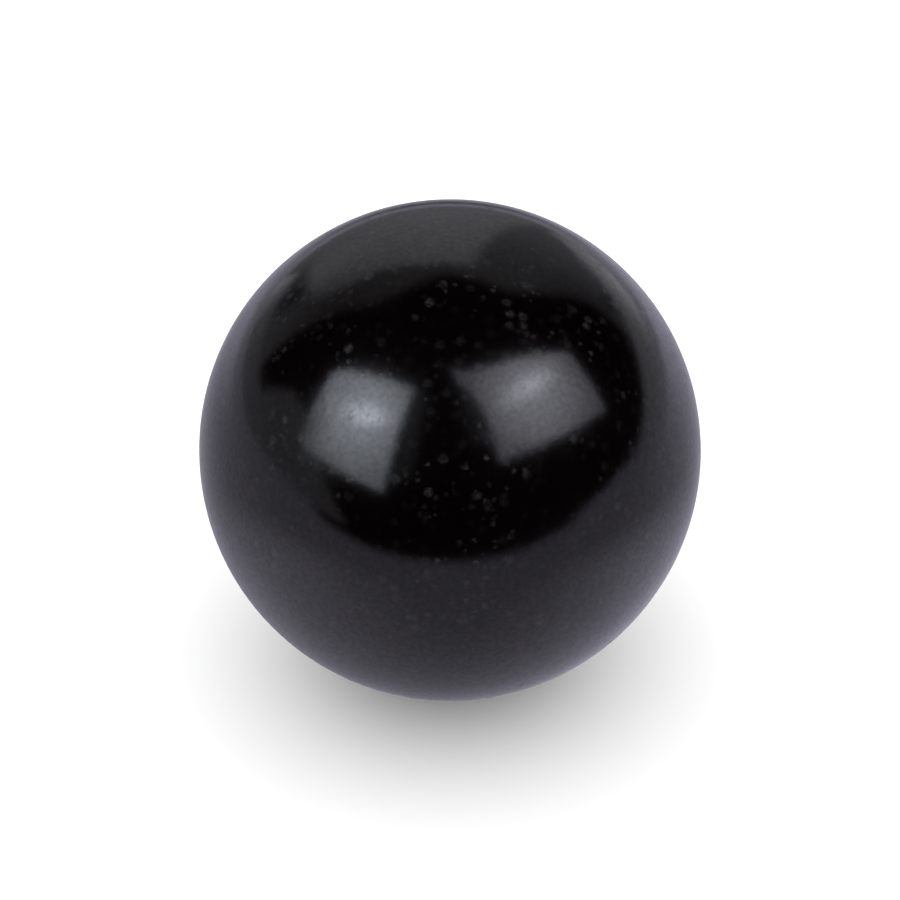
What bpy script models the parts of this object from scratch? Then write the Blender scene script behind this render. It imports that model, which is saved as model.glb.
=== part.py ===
"""Case opening friction ball: a solid ball of tacky black rubber, built as one moulding.

The ball is pressed on a screwed watch case back and turned by hand, so its grip unscrews or
tightens the back. Units are metres and +Z is up. The origin is the ball's centre, which is the
natural reference point of a sphere: the case back meets it at the bottom and the palm at the top.

Run with: blender --background --python part.py
"""

import bmesh
import bpy

# Driving dimension of the real object.
BALL_DIAMETER = 0.065       # across the finished moulding, in every direction

# How finely the round surface is cut into flat facets. The number of meridians is a multiple
# of four and the number of rings is even, so a corner lies on each end of all three axes and
# the faceted solid is a full diameter long, wide and high. The largest facets span five
# degrees each way, and their middles lie 0.06 mm inside the true sphere.
MERIDIANS = 72
RINGS = 36

# Rubber of the moulding: near black, with the gloss of a smooth and tacky skin.
RUBBER_COLOUR = (0.003, 0.002, 0.002, 1.0)
RUBBER_ROUGHNESS = 0.14
RUBBER_METALLIC = 0.0

COLLECTION_NAME = "case_opening_friction_ball"
BALL_NAME = "friction_ball"


def clear_scene() -> None:
    """Remove every object that the scene starts with."""
    for scene_object in list(bpy.data.objects):
        bpy.data.objects.remove(scene_object, do_unlink=True)


def make_collection(name: str) -> bpy.types.Collection:
    """Add an empty collection to the scene.

    Args:
        name: The collection's name.

    Returns:
        The new collection, linked to the scene.
    """
    collection = bpy.data.collections.new(name)
    bpy.context.scene.collection.children.link(collection)
    return collection


def make_rubber() -> bpy.types.Material:
    """Make the black rubber of the moulding.

    Returns:
        A material with the rubber's colour, roughness and metallic value.
    """
    material = bpy.data.materials.new("tacky_black_rubber")
    material.use_nodes = True
    shader = material.node_tree.nodes["Principled BSDF"]
    shader.inputs["Base Color"].default_value = RUBBER_COLOUR
    shader.inputs["Roughness"].default_value = RUBBER_ROUGHNESS
    shader.inputs["Metallic"].default_value = RUBBER_METALLIC
    material.diffuse_color = RUBBER_COLOUR
    return material


def make_ball(collection: bpy.types.Collection, material: bpy.types.Material) -> bpy.types.Object:
    """Model the moulding: a sphere with its poles on the Z axis.

    Args:
        collection: The collection that the ball goes in.
        material: The rubber that it is made of.

    Returns:
        The ball, with its centre at the origin.
    """
    mesh = bpy.data.meshes.new(BALL_NAME)
    shape = bmesh.new()
    bmesh.ops.create_uvsphere(
        shape,
        u_segments=MERIDIANS,
        v_segments=RINGS,
        radius=BALL_DIAMETER / 2,
    )
    bmesh.ops.recalc_face_normals(shape, faces=shape.faces)
    shape.to_mesh(mesh)
    shape.free()
    mesh.shade_smooth()
    mesh.materials.append(material)

    ball = bpy.data.objects.new(BALL_NAME, mesh)
    ball.location = (0.0, 0.0, 0.0)
    collection.objects.link(ball)
    return ball


def main() -> None:
    """Build the friction ball in an empty scene."""
    clear_scene()
    collection = make_collection(COLLECTION_NAME)
    make_ball(collection, make_rubber())


main()
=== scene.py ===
"""Looks of the case opening friction ball: a glossy, tacky black rubber ball in a pale studio.

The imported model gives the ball's place and size. This script lays a finely modelled skin over
it, dresses the skin in procedural rubber, and sets up the floor, the lights and the camera.
"""

import logging
import math
import random
from collections.abc import Sequence
from dataclasses import dataclass, field
from enum import Enum

import bmesh
import bpy
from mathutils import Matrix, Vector, kdtree, noise


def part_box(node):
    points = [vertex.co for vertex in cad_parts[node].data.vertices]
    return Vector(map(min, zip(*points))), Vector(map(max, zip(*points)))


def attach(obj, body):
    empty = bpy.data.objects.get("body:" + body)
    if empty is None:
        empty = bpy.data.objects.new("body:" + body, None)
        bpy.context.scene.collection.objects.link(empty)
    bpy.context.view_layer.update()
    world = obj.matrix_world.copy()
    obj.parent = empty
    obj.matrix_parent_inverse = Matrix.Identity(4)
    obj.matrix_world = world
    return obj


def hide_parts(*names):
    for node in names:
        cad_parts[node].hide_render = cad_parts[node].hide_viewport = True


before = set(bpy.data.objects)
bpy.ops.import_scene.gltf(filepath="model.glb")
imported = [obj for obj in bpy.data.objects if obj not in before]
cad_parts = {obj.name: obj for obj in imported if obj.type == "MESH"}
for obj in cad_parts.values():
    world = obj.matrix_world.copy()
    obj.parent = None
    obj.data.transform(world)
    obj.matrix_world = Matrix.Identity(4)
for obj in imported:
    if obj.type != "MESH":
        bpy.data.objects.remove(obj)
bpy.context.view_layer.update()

LOG = logging.getLogger("friction_ball")

ROOT_BODY = "root"
BALL_NODE = "friction_ball"
RUBBER_SLOT = "tacky_black_rubber"

MILLIMETRE = 0.001
WHITE = (1.0, 1.0, 1.0, 1.0)
DUST_ATTRIBUTE = "dust"
LIT_ATTRIBUTE = "lit"


class Tint(Enum):
    """Colour of the light from a part of the studio."""

    LEFT_LAMP = (0.92, 0.985, 1.10, 1.0)
    RIGHT_LAMP = (0.95, 0.96, 1.10, 1.0)
    BENCH = (0.955, 0.925, 1.12, 1.0)
    PALE_WALL = (0.98, 0.97, 1.06, 1.0)


class SeenBy(Enum):
    """Which rays meet a piece of the studio."""

    EYE = "eye"
    REFLECTIONS = "reflections"


@dataclass(frozen=True)
class Bearing:
    """A direction out of the ball's centre.

    Attributes:
        azimuth: Degrees round from the camera's side (-Y), positive towards +X.
        elevation: Degrees above the horizon.
    """

    azimuth: float
    elevation: float

    def unit(self) -> Vector:
        """Returns the direction as a vector of length one."""
        turn = math.radians(self.azimuth)
        rise = math.radians(self.elevation)
        level = math.cos(rise)
        return Vector((level * math.sin(turn), -level * math.cos(turn), math.sin(rise)))


def smooth_fall(distance: float, reach: float) -> float:
    """Gives a rounded bump's height, from 1 at its middle to 0 at its edge.

    Args:
        distance: How far the place is from the bump's middle.
        reach: The bump's radius.

    Returns:
        The share of the bump's full height.
    """
    if distance >= reach:
        return 0.0
    share = 1.0 - (distance / reach) ** 2
    return share * share


def set_visibility(piece: bpy.types.Object, seen_by: SeenBy) -> None:
    """Lets only some rays meet a piece of the studio.

    Args:
        piece: The studio piece.
        seen_by: The rays that meet it.
    """
    to_the_eye = seen_by is SeenBy.EYE
    piece.visible_camera = to_the_eye
    piece.visible_diffuse = to_the_eye
    piece.visible_shadow = to_the_eye
    piece.visible_glossy = not to_the_eye
    piece.visible_transmission = False
    piece.visible_volume_scatter = False


def object_from_bmesh(name: str, shape: bmesh.types.BMesh) -> bpy.types.Object:
    """Makes a scene object of a finished shape, and frees the shape.

    Args:
        name: The object's name.
        shape: The shape, in world coordinates.

    Returns:
        The object, at the origin and linked to the scene.
    """
    mesh = bpy.data.meshes.new(name)
    shape.to_mesh(mesh)
    shape.free()
    piece = bpy.data.objects.new(name, mesh)
    bpy.context.scene.collection.objects.link(piece)
    return piece


class NodeBoard:
    """A small helper that adds and wires the nodes of one material or world."""

    def __init__(self, tree: bpy.types.NodeTree) -> None:
        """Starts on an empty tree.

        Args:
            tree: The node tree to fill. Its present nodes are removed.
        """
        self.tree = tree
        self.tree.nodes.clear()

    def add(self, kind: str, settings: dict[str, object] | None = None,
            **inputs: object) -> bpy.types.Node:
        """Adds a node.

        Args:
            kind: The node's Blender type.
            settings: Attributes of the node itself.
            **inputs: Values or output sockets for the inputs, with _ for a space in their names.

        Returns:
            The new node.
        """
        node = self.tree.nodes.new(kind)
        for name, value in (settings or {}).items():
            setattr(node, name, value)
        for name, value in inputs.items():
            self.feed(node.inputs[name.replace("_", " ")], value)
        return node

    def feed(self, socket: bpy.types.NodeSocket, value: object) -> None:
        """Wires an output into a socket, or sets the socket's own value.

        Args:
            socket: The input socket.
            value: An output socket or a constant.
        """
        if isinstance(value, bpy.types.NodeSocket):
            self.tree.links.new(value, socket)
        else:
            socket.default_value = value

    def spread(self, value: bpy.types.NodeSocket, low: float, high: float,
               to_low: float, to_high: float) -> bpy.types.NodeSocket:
        """Maps a range of values smoothly onto another range.

        Args:
            value: The value to map.
            low: The value that gives to_low.
            high: The value that gives to_high.
            to_low: The result at and below low.
            to_high: The result at and above high.

        Returns:
            The mapped value's socket.
        """
        node = self.add("ShaderNodeMapRange", {"interpolation_type": "SMOOTHSTEP"})
        for name, number in (("From Min", low), ("From Max", high),
                             ("To Min", to_low), ("To Max", to_high)):
            node.inputs[name].default_value = number
        self.feed(node.inputs["Value"], value)
        return node.outputs["Result"]

    def math(self, operation: str, first: object, second: object) -> bpy.types.NodeSocket:
        """Adds a Math node with two inputs.

        Args:
            operation: The Math node's operation.
            first: The first value or socket.
            second: The second value or socket.

        Returns:
            The result's socket.
        """
        node = self.add("ShaderNodeMath", {"operation": operation})
        self.feed(node.inputs[0], first)
        self.feed(node.inputs[1], second)
        return node.outputs["Value"]

    def grain(self, place: bpy.types.NodeSocket, pitch: float, detail: float,
              roughness: float = 0.5) -> bpy.types.NodeSocket:
        """Adds a cloudy pattern in space.

        Args:
            place: The coordinates that it follows.
            pitch: The distance between its clouds, in metres.
            detail: How many finer layers it has.
            roughness: How strong the finer layers are.

        Returns:
            The socket of its value, from 0 to 1.
        """
        node = self.add("ShaderNodeTexNoise", {"noise_dimensions": "3D"}, Vector=place,
                        Scale=1.0 / pitch, Detail=detail, Roughness=roughness)
        return node.outputs["Fac"]


@dataclass(frozen=True)
class DustLayer:
    """Grains of dust of one size, scattered over the tacky skin.

    Attributes:
        spacing: Mean distance between the places where a grain may lie.
        grain_radius: Radius of the largest grains.
        bare_share: Share of those places that carry no grain.
        strength: How much the brightest grains show, from 0 to 1.
    """

    spacing: float
    grain_radius: float
    bare_share: float
    strength: float


@dataclass(frozen=True)
class TackyRubber:
    """Finish of the ball: deep black rubber with a clean, slightly uneven gloss.

    Attributes:
        black: Colour of the rubber.
        dust: Colour of a grain of dust stuck on the rubber.
        dust_layers: The sizes of dust that it carries.
        drift_pitch: Distance between the drifts where the dust lies thicker, and between the
            faint bloom's clouds.
        drift_share: How much of the dust lies between the drifts and in them.
        crumb_pitch: Distance between the crumbs that a grain breaks into.
        crumb_share: How much of a grain shows between its crumbs and on them.
        warp: How far, and over what distance, the grains' outlines are pulled about.
        core: Share of a grain's radius that is full.
        bloom: Strongest grey of the faint bloom on the clean rubber.
        ior: Refractive index, which sets how strongly the skin reflects.
        gloss: Roughness of the clean skin, lowest and highest.
        cloud_pitch: Distance between the clouds of more and less gloss.
        dust_roughness: What a dusty spot adds to the roughness.
        smear_roughness: What a dull smear adds to the roughness.
        smear_pitch: Distance between smears, across them.
        smear_stretch: Scale of the pattern along the smears.
        smear_turn: How the smears are turned, in radians about X, Y and Z.
        handled_pitch: Distance between the patches that hands have smeared.
        grain_pitch: Distance between the dimples of the finest grain.
        grain_depth: Depth of the finest grain.
        film: Strength of the tacky film's own shine, lowest and highest.
        film_pitch: Distance between the beads that the film gathers in.
        film_roughness: Roughness of the film.
    """

    black: tuple[float, float, float, float] = (0.0009, 0.0001, 0.0001, 1.0)
    dust: tuple[float, float, float, float] = (0.020, 0.019, 0.021, 1.0)
    dust_layers: tuple[DustLayer, ...] = (
        DustLayer(1.15 * MILLIMETRE, 0.48 * MILLIMETRE, 0.36, 0.46),
        DustLayer(1.9 * MILLIMETRE, 0.84 * MILLIMETRE, 0.24, 0.48),
    )
    drift_pitch: float = 9 * MILLIMETRE
    drift_share: tuple[float, float] = (0.20, 1.0)
    crumb_pitch: float = 0.45 * MILLIMETRE
    crumb_share: tuple[float, float] = (0.45, 1.0)
    warp: float = 0.6 * MILLIMETRE
    core: float = 0.4
    bloom: float = 0.015
    ior: float = 1.5
    gloss: tuple[float, float] = (0.115, 0.145)
    cloud_pitch: float = 14 * MILLIMETRE
    dust_roughness: float = 0.40
    smear_roughness: float = 0.04
    smear_pitch: float = 1.6 * MILLIMETRE
    smear_stretch: float = 0.14
    smear_turn: tuple[float, float, float] = (0.5, 0.2, 0.0)
    handled_pitch: float = 22 * MILLIMETRE
    grain_pitch: float = 0.5 * MILLIMETRE
    grain_depth: float = 0.0035 * MILLIMETRE
    film: tuple[float, float] = (0.0, 0.26)
    film_pitch: float = 0.6 * MILLIMETRE
    film_roughness: float = 0.12

    def material(self) -> bpy.types.Material:
        """Builds the procedural rubber.

        Returns:
            The material, patterned in the ball's own coordinates.
        """
        material = bpy.data.materials.new(RUBBER_SLOT)
        material.use_nodes = True
        board = NodeBoard(material.node_tree)
        place = board.add("ShaderNodeTexCoord").outputs["Object"]
        dust = self.dustiness(board, place)

        shader = board.add("ShaderNodeBsdfPrincipled", IOR=self.ior,
                           Coat_Roughness=self.film_roughness, Coat_IOR=self.ior)
        board.feed(shader.inputs["Coat Weight"], self.tacky_film(board, place))
        board.feed(shader.inputs["Base Color"], self.colour(board, place, dust))
        board.feed(shader.inputs["Roughness"], self.roughness(board, place, dust))
        board.feed(shader.inputs["Normal"], self.relief(board, place))
        board.add("ShaderNodeOutputMaterial", Surface=shader.outputs["BSDF"])
        return material

    def dustiness(self, board: NodeBoard, place: bpy.types.NodeSocket) -> bpy.types.NodeSocket:
        """Scatters the dust: specks of every layer, thicker in some places than in others.

        Args:
            board: The material's nodes.
            place: The ball's own coordinates.

        Returns:
            The socket of how dusty the skin is, from 0 to 1.
        """
        pimples = board.add("ShaderNodeAttribute", {"attribute_name": DUST_ATTRIBUTE})
        total = pimples.outputs["Fac"]
        drifts = board.spread(board.grain(place, self.drift_pitch, 1.0), 0.42, 0.60,
                              *self.drift_share)
        ragged = board.add("ShaderNodeTexNoise", Vector=place, Scale=1.0 / self.warp)
        crumbs = board.spread(board.grain(place, self.crumb_pitch, 1.0), 0.34, 0.54,
                              *self.crumb_share)
        shift = board.add("ShaderNodeVectorMath", {"operation": "MULTIPLY_ADD"})
        board.feed(shift.inputs[0], ragged.outputs["Color"])
        shift.inputs[1].default_value = [self.warp] * 3
        board.feed(shift.inputs[2], place)
        for layer in self.dust_layers:
            cells = board.add("ShaderNodeTexVoronoi", Scale=1.0 / layer.spacing,
                              Vector=shift.outputs["Vector"])
            edge = layer.grain_radius / layer.spacing
            spot = board.spread(cells.outputs["Distance"], self.core * edge, edge, 1.0, 0.0)
            pick = board.add("ShaderNodeSeparateColor", Color=cells.outputs["Color"])
            level = board.spread(pick.outputs["Red"], layer.bare_share, 1.0, 0.0, layer.strength)
            grains = board.math("MULTIPLY", spot, board.math("MULTIPLY", level, drifts))
            total = board.math("MAXIMUM", total, grains)
        return board.math("MULTIPLY", total, crumbs)

    def colour(self, board: NodeBoard, place: bpy.types.NodeSocket,
               dust: bpy.types.NodeSocket) -> bpy.types.NodeSocket:
        """Mixes the dust's grey into the black rubber.

        Args:
            board: The material's nodes.
            place: The ball's own coordinates.
            dust: How dusty the skin is at a point, from 0 to 1.

        Returns:
            The colour's socket.
        """
        bloom = board.spread(board.grain(place, self.drift_pitch, 4.0), 0.52, 0.75,
                             0.0, self.bloom)
        amount = board.math("MAXIMUM", dust, bloom)
        mix = board.add("ShaderNodeMix", {"data_type": "RGBA"})
        board.feed(mix.inputs["Factor"], amount)
        mix.inputs[6].default_value = self.black
        mix.inputs[7].default_value = self.dust
        return mix.outputs[2]

    def roughness(self, board: NodeBoard, place: bpy.types.NodeSocket,
                  dust: bpy.types.NodeSocket) -> bpy.types.NodeSocket:
        """Varies the gloss: clouds of shine, long handling smears and dull dusty spots.

        Args:
            board: The material's nodes.
            place: The ball's own coordinates.
            dust: How dusty the skin is at a point, from 0 to 1.

        Returns:
            The roughness socket.
        """
        low, high = self.gloss
        clouds = board.spread(board.grain(place, self.cloud_pitch, 3.0), 0.35, 0.65, low, high)
        stretched = board.add("ShaderNodeMapping", Vector=place,
                              Scale=(1.0, 1.0, self.smear_stretch),
                              Rotation=self.smear_turn).outputs["Vector"]
        streaks = board.grain(stretched, self.smear_pitch, 2.0, 0.6)
        patches = board.spread(board.grain(place, self.handled_pitch, 1.0), 0.5, 0.62, 0.0, 1.0)
        smears = board.spread(streaks, 0.52, 0.72, 0.0, self.smear_roughness)
        worn = board.math("ADD", clouds, board.math("MULTIPLY", smears, patches))
        return board.math("ADD", worn, board.math("MULTIPLY", dust, self.dust_roughness))

    def tacky_film(self, board: NodeBoard, place: bpy.types.NodeSocket) -> bpy.types.NodeSocket:
        """Varies the shine of the tacky film, which gathers in fine beads.

        Args:
            board: The material's nodes.
            place: The ball's own coordinates.

        Returns:
            The film's strength socket.
        """
        return board.spread(board.grain(place, self.film_pitch, 2.0, 0.6), 0.3, 0.7, *self.film)

    def relief(self, board: NodeBoard, place: bpy.types.NodeSocket) -> bpy.types.NodeSocket:
        """Adds the finest grain, below the size that the skin's mesh carries.

        Args:
            board: The material's nodes.
            place: The ball's own coordinates.

        Returns:
            The bumped normal's socket.
        """
        grain = board.grain(place, self.grain_pitch, 2.0, 0.6)
        bump = board.add("ShaderNodeBump", Strength=1.0, Distance=self.grain_depth, Height=grain)
        return bump.outputs["Normal"]


@dataclass(frozen=True)
class Speck:
    """A grain of dust under the skin, which lifts it into a pimple.

    Attributes:
        middle: Direction of its middle from the ball's centre.
        reach: Radius of the pimple.
        height: How far it stands up; negative for a pit.
        dullness: How dusty it looks, from 0 to 1.
    """

    middle: Vector
    reach: float
    height: float
    dullness: float


@dataclass
class MouldedSkin:
    """Relief of the rubber's skin: a faint waviness from the mould, and small specks.

    Attributes:
        radius: Radius that the highest points reach.
        seed: Seed of the specks' places and sizes.
        wave_pitch: Distance between the waves, from long to short.
        wave_depth: Depth of each of those waves.
        speck_count: How many specks the whole ball carries.
        speck_reach: Smallest and largest radius of a speck.
        speck_slope: Height of a speck as a share of its radius, lowest and highest.
        pit_share: Share of the specks that are pits.
        speck_rarity: How much rarer large specks are than small ones; 1 makes all as common.
        speck_dullness: How dusty a speck looks, lowest and highest.
        wave_shift: Where in the waves' pattern the ball's centre lies.
    """

    radius: float
    seed: int = 11
    wave_pitch: tuple[float, ...] = (14 * MILLIMETRE, 5 * MILLIMETRE, 2.2 * MILLIMETRE)
    wave_depth: tuple[float, ...] = (0.020 * MILLIMETRE, 0.009 * MILLIMETRE, 0.005 * MILLIMETRE)
    speck_count: int = 420
    speck_reach: tuple[float, float] = (0.30 * MILLIMETRE, 0.70 * MILLIMETRE)
    speck_slope: tuple[float, float] = (0.006, 0.022)
    pit_share: float = 0.15
    speck_rarity: float = 2.2
    speck_dullness: tuple[float, float] = (0.04, 0.34)
    wave_shift: tuple[float, float, float] = (7.1, 3.3, 5.7)
    specks: list[Speck] = field(default_factory=list, init=False)
    tree: kdtree.KDTree = field(init=False)

    def __post_init__(self) -> None:
        """Scatters the specks."""
        chance = random.Random(self.seed)
        low, high = self.speck_reach
        for _ in range(self.speck_count):
            middle = Vector([chance.gauss(0.0, 1.0) for _ in range(3)]).normalized()
            reach = low + (high - low) * chance.random() ** self.speck_rarity
            slope = chance.uniform(*self.speck_slope)
            sign = -1.0 if chance.random() < self.pit_share else 1.0
            dullness = chance.uniform(*self.speck_dullness)
            self.specks.append(Speck(middle, reach, sign * slope * reach, dullness))
        self.tree = kdtree.KDTree(len(self.specks))
        for number, speck in enumerate(self.specks):
            self.tree.insert(speck.middle * self.radius, number)
        self.tree.balance()

    def near(self, place: Vector, spare: float = 0.0) -> list[tuple[Speck, float]]:
        """Lists the specks that reach a point of the skin.

        Args:
            place: A point on the ball.
            spare: How far outside a speck still counts.

        Returns:
            Each speck with the point's distance from its middle.
        """
        found = self.tree.find_range(place, self.speck_reach[1] + spare)
        pairs = [(self.specks[number], distance) for _, number, distance in found]
        return [(speck, distance) for speck, distance in pairs if distance < speck.reach + spare]

    def height(self, direction: Vector) -> tuple[float, float]:
        """Measures the skin in one direction.

        Args:
            direction: A unit vector out of the ball's centre.

        Returns:
            The skin's distance from the centre, and how dusty it is there.
        """
        place = direction * self.radius
        shift = Vector(self.wave_shift)
        waves = sum(depth * noise.noise(place / pitch + shift)
                    for pitch, depth in zip(self.wave_pitch, self.wave_depth))
        rise = 0.0
        dust = 0.0
        for speck, distance in self.near(place):
            share = smooth_fall(distance, speck.reach)
            rise += speck.height * share
            dust = max(dust, speck.dullness * share)
        room = sum(self.wave_depth) + self.speck_slope[1] * self.speck_reach[1]
        return min(self.radius, self.radius - room + waves + rise), dust


@dataclass
class FrictionBall:
    """The whole tool: one solid moulding, modelled as a fine closed skin.

    Attributes:
        centre: The ball's centre.
        radius: The ball's radius.
        finish: The rubber that it is made of.
        base_divisions: Cuts of the even ball that the skin starts from.
        fine_levels: For each round of finer cuts, how far around a speck they reach.
    """

    centre: Vector
    radius: float
    finish: TackyRubber = field(default_factory=TackyRubber)
    base_divisions: int = 7
    fine_levels: tuple[float, ...] = (0.55 * MILLIMETRE, 0.12 * MILLIMETRE)

    def build(self) -> bpy.types.Object:
        """Models the skin and dresses it.

        Returns:
            The ball, riding on the root body in place of the CAD node.
        """
        skin = MouldedSkin(self.radius)
        shape = bmesh.new()
        bmesh.ops.create_icosphere(shape, subdivisions=self.base_divisions, radius=self.radius)
        for spare in self.fine_levels:
            self.cut_finer(shape, skin, spare)
        self.press_relief(shape, skin)
        bmesh.ops.recalc_face_normals(shape, faces=shape.faces)
        ball = object_from_bmesh("friction_ball_skin", shape)
        ball.data.shade_smooth()
        self.dress(ball)
        LOG.info("%s: %d faces, %d specks", ball.name, len(ball.data.polygons), len(skin.specks))
        return ball

    def cut_finer(self, shape: bmesh.types.BMesh, skin: MouldedSkin, spare: float) -> None:
        """Halves the edges of the mesh around every speck.

        Args:
            shape: The mesh, on the true sphere.
            skin: The relief that the mesh has to carry.
            spare: How far outside a speck the finer mesh reaches.
        """
        shape.verts.ensure_lookup_table()
        wanted = {vert for vert in shape.verts if skin.near(vert.co, spare)}
        edges = [edge for edge in shape.edges if wanted.intersection(edge.verts)]
        bmesh.ops.subdivide_edges(shape, edges=edges, cuts=1, use_grid_fill=True)
        bmesh.ops.triangulate(shape, faces=[face for face in shape.faces if len(face.verts) > 3])
        for vert in shape.verts:
            vert.co = vert.co.normalized() * self.radius

    def press_relief(self, shape: bmesh.types.BMesh, skin: MouldedSkin) -> None:
        """Moves every point to the height of the skin and notes how dusty it is.

        Args:
            shape: The mesh, on the true sphere around the origin.
            skin: The relief.
        """
        layer = shape.verts.layers.float.new(DUST_ATTRIBUTE)
        for vert in shape.verts:
            direction = vert.co.normalized()
            distance, dust = skin.height(direction)
            vert.co = self.centre + direction * distance
            vert[layer] = dust

    def dress(self, ball: bpy.types.Object) -> None:
        """Gives the ball its finish and its place in the frame.

        Args:
            ball: The skin's object.
        """
        ball.data.materials.append(self.finish.material())
        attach(ball, ROOT_BODY)
        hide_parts(BALL_NODE)


@dataclass(frozen=True)
class LightPool:
    """A soft pool of light on a lit card.

    Attributes:
        middle: Its middle, on the card.
        reach: Its radius, across its length where it is long.
        light: Brightness that it adds at its middle; negative for a shadow.
        reach_along: Vector from its middle to its far end, where it is long and not round.
    """

    middle: Vector
    reach: float
    light: float
    reach_along: Vector | None = None

    def share(self, board: NodeBoard, place: bpy.types.NodeSocket) -> bpy.types.NodeSocket:
        """Measures how far out a point of the card is.

        Args:
            board: The material's nodes.
            place: World coordinates on the card.

        Returns:
            The socket of its distance, which is 1 at the pool's edge.
        """
        offset = board.add("ShaderNodeVectorMath", {"operation": "SUBTRACT"})
        board.feed(offset.inputs[0], place)
        offset.inputs[1].default_value = self.middle
        across = offset.outputs["Vector"]
        if self.reach_along is not None:
            squeeze = 1.0 - self.reach / self.reach_along.length
            along = board.add("ShaderNodeVectorMath", {"operation": "PROJECT"})
            board.feed(along.inputs[0], across)
            along.inputs[1].default_value = self.reach_along
            shorter = board.add("ShaderNodeVectorMath", {"operation": "MULTIPLY_ADD"})
            board.feed(shorter.inputs[0], along.outputs["Vector"])
            shorter.inputs[1].default_value = [-squeeze] * 3
            board.feed(shorter.inputs[2], across)
            across = shorter.outputs["Vector"]
        length = board.add("ShaderNodeVectorMath", {"operation": "LENGTH"})
        board.feed(length.inputs[0], across)
        return board.math("DIVIDE", length.outputs["Value"], self.reach)


@dataclass(frozen=True)
class CardPlane:
    """A flat plane that faces the ball, on which a card of the studio is laid out.

    Attributes:
        facing: Bearing of the plane's nearest point to the ball's centre.
        distance: Distance of that point.
    """

    facing: Bearing
    distance: float

    def at(self, azimuth: float, elevation: float) -> Vector:
        """Finds where a bearing from the ball's centre meets the plane.

        Args:
            azimuth: The bearing's azimuth.
            elevation: The bearing's elevation.

        Returns:
            The point.
        """
        ray = Bearing(azimuth, elevation).unit()
        return ray * (self.distance / ray.dot(self.facing.unit()))

    def outline(self, *bearings: tuple[float, float]) -> tuple[Vector, ...]:
        """Finds the corners of a card.

        Args:
            *bearings: Azimuth and elevation of each corner.

        Returns:
            The corners.
        """
        return tuple(self.at(*bearing) for bearing in bearings)


@dataclass(frozen=True)
class StudioCard:
    """A flat lit card of the studio, which only the ball's gloss mirrors.

    Attributes:
        name: What it is.
        corners: Its corners, in order round its edge.
        light: Its even brightness.
        feather: Width of the soft band along its edge.
        pools: Pools of light on it.
        tint: Colour of its light.
    """

    name: str
    corners: Sequence[Vector]
    light: float
    feather: float = 0.05
    pools: Sequence[LightPool] = ()
    tint: Tint = Tint.PALE_WALL

    def build(self) -> bpy.types.Object:
        """Models the card and lights it.

        Returns:
            The card, seen only by reflections.
        """
        shape = bmesh.new()
        corners = [shape.verts.new(corner) for corner in self.corners]
        inner = bmesh.ops.contextual_create(shape, geom=corners)["faces"]
        bmesh.ops.inset_individual(shape, faces=inner, thickness=self.feather, use_even_offset=True)
        lit = shape.verts.layers.float.new(LIT_ATTRIBUTE)
        for vert in inner[0].verts:
            vert[lit] = 1.0
        card = object_from_bmesh(self.name, shape)
        card.data.materials.append(self.glow())
        set_visibility(card, SeenBy.REFLECTIONS)
        LOG.info("%s: lit card", card.name)
        return card

    def glow(self) -> bpy.types.Material:
        """Builds the card's light, which thins out to nothing along its edge.

        Returns:
            The card's material.
        """
        material = bpy.data.materials.new(self.name + "_light")
        material.use_nodes = True
        board = NodeBoard(material.node_tree)
        place = board.add("ShaderNodeTexCoord").outputs["Object"]
        edge = board.add("ShaderNodeAttribute", {"attribute_name": LIT_ATTRIBUTE}).outputs["Fac"]
        lamp = board.add("ShaderNodeEmission", Color=self.tint.value,
                         Strength=self.strength(board, place))
        clear = board.add("ShaderNodeBsdfTransparent")
        mix = board.add("ShaderNodeMixShader")
        board.feed(mix.inputs[0], board.spread(edge, 0.0, 1.0, 0.0, 1.0))
        board.feed(mix.inputs[1], clear.outputs["BSDF"])
        board.feed(mix.inputs[2], lamp.outputs["Emission"])
        board.add("ShaderNodeOutputMaterial", Surface=mix.outputs["Shader"])
        return material

    def strength(self, board: NodeBoard, place: bpy.types.NodeSocket) -> object:
        """Adds the pools to the even brightness.

        Args:
            board: The material's nodes.
            place: World coordinates on the card.

        Returns:
            The brightness, as a number or a socket.
        """
        total = self.light
        for pool in self.pools:
            added = board.spread(pool.share(board, place), 0.0, 1.0, pool.light, 0.0)
            total = board.math("ADD", added, total)
        return total


@dataclass(frozen=True)
class Bench(StudioCard):
    """The bench top under the ball, dark at its front edge.

    Attributes:
        shade: The round shade in front, whose light isn't used.
        shade_edge: Shares of the shade's reach where it is full and where it ends.
    """

    shade: LightPool = LightPool(Vector((-0.025, -1.07, 0.0)), 0.908, 0.0)
    shade_edge: tuple[float, float] = (0.955, 1.030)

    def strength(self, board: NodeBoard, place: bpy.types.NodeSocket) -> object:
        """Takes the shade out of the bench's brightness.

        Args:
            board: The material's nodes.
            place: World coordinates on the bench.

        Returns:
            The brightness socket.
        """
        lit = board.spread(self.shade.share(board, place), *self.shade_edge, 0.0, 1.0)
        return board.math("MULTIPLY", super().strength(board, place), lit)


def plain_matt(name: str, shade: float) -> bpy.types.Material:
    """Makes a matt grey for the floor.

    Args:
        name: The material's name.
        shade: How light it is, from 0 to 1.

    Returns:
        The material.
    """
    material = bpy.data.materials.new(name)
    material.use_nodes = True
    shader = material.node_tree.nodes["Principled BSDF"]
    shader.inputs["Base Color"].default_value = (shade, shade, shade, 1.0)
    shader.inputs["Roughness"].default_value = 1.0
    shader.inputs["Specular IOR Level"].default_value = 0.0
    return material


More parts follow.
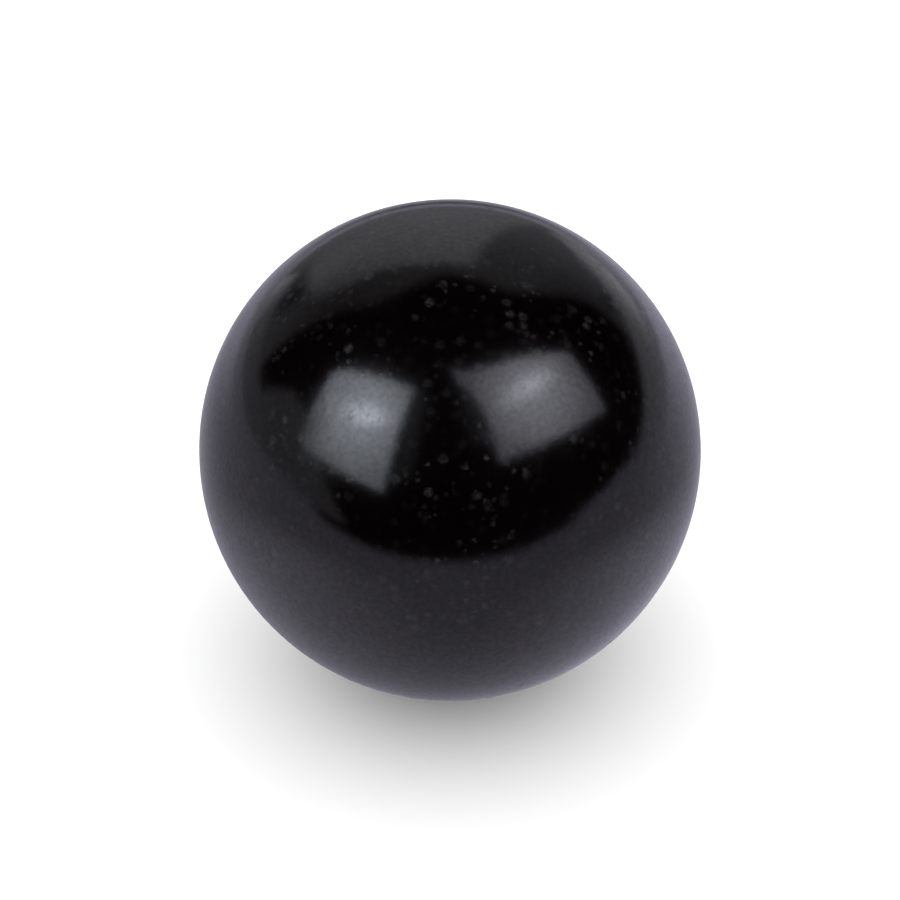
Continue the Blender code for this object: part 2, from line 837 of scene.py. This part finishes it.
@dataclass
class Studio:
    """The pale room around the ball: floor, bench, lit cards and surrounding light.

    Attributes:
        ball: The ball that stands in it.
        floor_shade: How light the floor is.
        floor_size: Half width of the floor.
        bench_size: Half width of the bench.
        bench_front: Y of the bench's front edge.
        room_light: Brightness of the surrounding light.
        gloom: Brightness of the unlit part of the studio in the ball's gloss.
    """

    ball: FrictionBall
    floor_shade: float = 0.93
    floor_size: float = 6.0
    bench_size: float = 1.5
    bench_front: float = -0.33
    room_light: float = 1.5
    gloom: float = 0.003

    def build(self) -> None:
        """Builds the whole studio."""
        self.build_floor()
        self.bench().build()
        for card in self.softboxes() + self.walls():
            card.build()
        self.light_room()

    @property
    def ground(self) -> float:
        """Height of the surface that the ball stands on."""
        return self.ball.centre.z - self.ball.radius

    def build_floor(self) -> None:
        """Lays the floor that the eye sees."""
        shape = bmesh.new()
        bmesh.ops.create_grid(shape, x_segments=1, y_segments=1, size=self.floor_size)
        bmesh.ops.translate(shape, verts=shape.verts, vec=(0.0, 0.0, self.ground))
        floor = object_from_bmesh("studio_floor", shape)
        floor.data.materials.append(plain_matt("studio_floor_matt", self.floor_shade))
        set_visibility(floor, SeenBy.EYE)
        LOG.info("%s: matt sheet", floor.name)

    def bench(self) -> Bench:
        """Describes the bench top: light thrown on it at each side of the ball, and its shade.

        Returns:
            The bench.
        """

        def spot(x: float, y: float) -> Vector:
            return Vector((x, y, self.ground))

        side = self.bench_size
        front = self.bench_front
        return Bench(
            "bench_top",
            (spot(-side, front), spot(side, front), spot(side, side), spot(-side, side)),
            light=0.42,
            pools=(
                LightPool(spot(-0.064, -0.040), 0.070, 0.30),
                LightPool(spot(0.060, -0.024), 0.066, 0.36),
                LightPool(spot(-0.008, 0.008), 0.046, -0.27),
                LightPool(spot(-0.19, 0.24), 0.20, 0.20),
                LightPool(spot(0.19, 0.22), 0.28, 0.26),
                LightPool(spot(0.0, 0.36), 0.24, -0.36),
            ),
            tint=Tint.BENCH,
        )

    def softboxes(self) -> list[StudioCard]:
        """Describes the two lamps in front of the ball, with their dim fringes.

        Returns:
            The softboxes.
        """
        left = CardPlane(Bearing(-55, 35), 1.45)
        right = CardPlane(Bearing(50, 45), 1.45)
        left_lamp = left.at(-50.5, 40)
        right_lamp = right.at(60, 50.5)
        return [
            StudioCard(
                "left_softbox",
                left.outline((-86.5, 42), (-82, 47.5), (-28, 60), (-28, 11.5), (-72, 13), (-76.5, 18)),
                light=1.7,
                feather=0.08,
                pools=(
                    LightPool(left.at(-53, 41), 0.80, 2.7),
                    LightPool(left_lamp, 0.17, 5.1, left.at(-31, 43.5) - left_lamp),
                    LightPool(left.at(-76, 22), 0.40, -0.8),
                ),
                tint=Tint.LEFT_LAMP,
            ),
            StudioCard(
                "right_softbox",
                right.outline((-7, 72.5), (20, 70), (45, 68), (92, 50), (98.5, 43),
                              (86, 18.5), (67, 23.5), (23, 25.5), (22, 47), (17, 56), (5, 64)),
                light=1.05,
                feather=0.08,
                pools=(
                    LightPool(right.at(58, 47), 0.90, 2.1),
                    LightPool(right_lamp, 0.18, 3.1, right.at(88, 43.5) - right_lamp),
                ),
                tint=Tint.RIGHT_LAMP,
            ),
            StudioCard("left_fringe", left.outline((-30, 62), (-12, 59), (-15, 19), (-30, 12)),
                       light=0.11, feather=0.2, tint=Tint.LEFT_LAMP),
            StudioCard("right_fringe", right.outline((24, 68), (3, 60), (8, 36), (26, 29)),
                       light=0.11, feather=0.2, tint=Tint.RIGHT_LAMP),
        ]

    def walls(self) -> list[StudioCard]:
        """Describes the pale walls beside and behind the ball.

        Returns:
            The walls.
        """
        back = CardPlane(Bearing(180, 15), 2.2)
        far_back = CardPlane(Bearing(180, 25), 2.6)
        left = CardPlane(Bearing(-100, 6), 2.0)
        right = CardPlane(Bearing(125, 2), 2.0)
        return [
            StudioCard(
                "back_wall",
                back.outline((165, -8), (165, 55), (-164, 53), (-149, 46), (-135, 40),
                             (-129, 31), (-134, 22), (-142.5, 15), (-151, 6), (-153, -8)),
                light=0.16, feather=0.2,
                pools=(LightPool(back.at(180, 46), 2.6, 0.46),
                       LightPool(back.at(-143, 20), 1.1, 0.13))),
            StudioCard(
                "back_corner",
                far_back.outline((120, -8), (122, 12), (128, 28), (128.5, 45), (134, 61), (180, 64),
                                 (-136, 64), (-122, 58), (-117, 32), (-115, -8)),
                light=0.16, feather=0.5,
                pools=(LightPool(far_back.at(150, 35), 2.6, 0.06),
                       LightPool(far_back.at(128, 30), 1.7, -0.10),
                       LightPool(far_back.at(136, 14), 0.5, -0.09),
                       LightPool(far_back.at(-125, 40), 1.8, -0.06),
                       LightPool(far_back.at(-139, 14), 0.8, -0.11))),
            StudioCard(
                "left_side",
                left.outline((-162, -9), (-160, 4), (-146, 9), (-124, 12), (-114, 11), (-107, 13.5),
                             (-101, 19), (-94, 25), (-84, 26), (-66, 19.5), (-57, 11), (-50, 2),
                             (-43, -5), (-40, -9)),
                light=0.24, feather=0.17,
                pools=(LightPool(left.at(-151, -4), 1.0, 0.42),)),
            StudioCard(
                "right_side",
                right.outline((80, -9), (87, -1), (105, 7), (120, 12.5), (135, 14.5), (152, 14),
                              (165, 5), (167, -9)),
                light=0.38, feather=0.17,
                pools=(LightPool(right.at(148, -3), 0.8, 0.40),)),
        ]

    def light_room(self) -> None:
        """Fills the room with even light, which the ball's gloss doesn't mirror."""
        world = bpy.data.worlds.new("studio_room")
        bpy.context.scene.world = world
        world.use_nodes = True
        board = NodeBoard(world.node_tree)
        rays = board.add("ShaderNodeLightPath")
        room = board.add("ShaderNodeBackground", Color=WHITE, Strength=self.room_light)
        gloom = board.add("ShaderNodeBackground", Color=WHITE, Strength=self.gloom)
        mix = board.add("ShaderNodeMixShader")
        board.feed(mix.inputs[0], rays.outputs["Is Glossy Ray"])
        board.feed(mix.inputs[1], room.outputs["Background"])
        board.feed(mix.inputs[2], gloom.outputs["Background"])
        board.add("ShaderNodeOutputWorld", Surface=mix.outputs["Shader"])
        LOG.info("%s: even light", world.name)


@dataclass
class ViewCamera:
    """The camera, which looks down at the ball's centre with its horizon level.

    Attributes:
        ball: The ball that it looks at.
        elevation: Degrees that it looks down.
        focal_length: Focal length in millimetres.
        sensor_width: Width of the sensor in millimetres.
        fill: The ball's width as a share of the view's width.
        clip: Nearest and furthest distance that it sees.
    """

    ball: FrictionBall
    elevation: float = 35.0
    focal_length: float = 100.0
    sensor_width: float = 36.0
    fill: float = 0.5585
    clip: tuple[float, float] = (0.01, 100.0)

    def build(self) -> bpy.types.Object:
        """Places the camera so that the ball fills its share of the view.

        Returns:
            The scene's camera.
        """
        lens = bpy.data.cameras.new("view_camera")
        lens.lens = self.focal_length
        lens.sensor_width = self.sensor_width
        camera = bpy.data.objects.new("view_camera", lens)
        bpy.context.scene.collection.objects.link(camera)

        half_width = self.sensor_width / (2 * self.focal_length)
        distance = self.ball.radius / math.sin(math.atan(self.fill * half_width))
        outward = Bearing(0.0, self.elevation).unit()
        camera.location = self.ball.centre + outward * distance
        camera.rotation_euler = (-outward).to_track_quat("-Z", "Y").to_euler()
        lens.clip_start, lens.clip_end = self.clip
        bpy.context.scene.camera = camera
        LOG.info("%s: %.0f mm from the ball", camera.name, distance / MILLIMETRE)
        return camera


def main() -> None:
    """Builds the ball, its studio and the camera."""
    logging.basicConfig(level=logging.INFO, format="%(message)s")
    low, high = (Vector(corner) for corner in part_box(BALL_NODE))
    ball = FrictionBall(centre=(low + high) / 2, radius=(high.x - low.x) / 2)
    ball.build()
    Studio(ball).build()
    ViewCamera(ball).build()
    bpy.context.scene.view_settings.view_transform = "Standard"


if __name__ == "__main__":
    main()
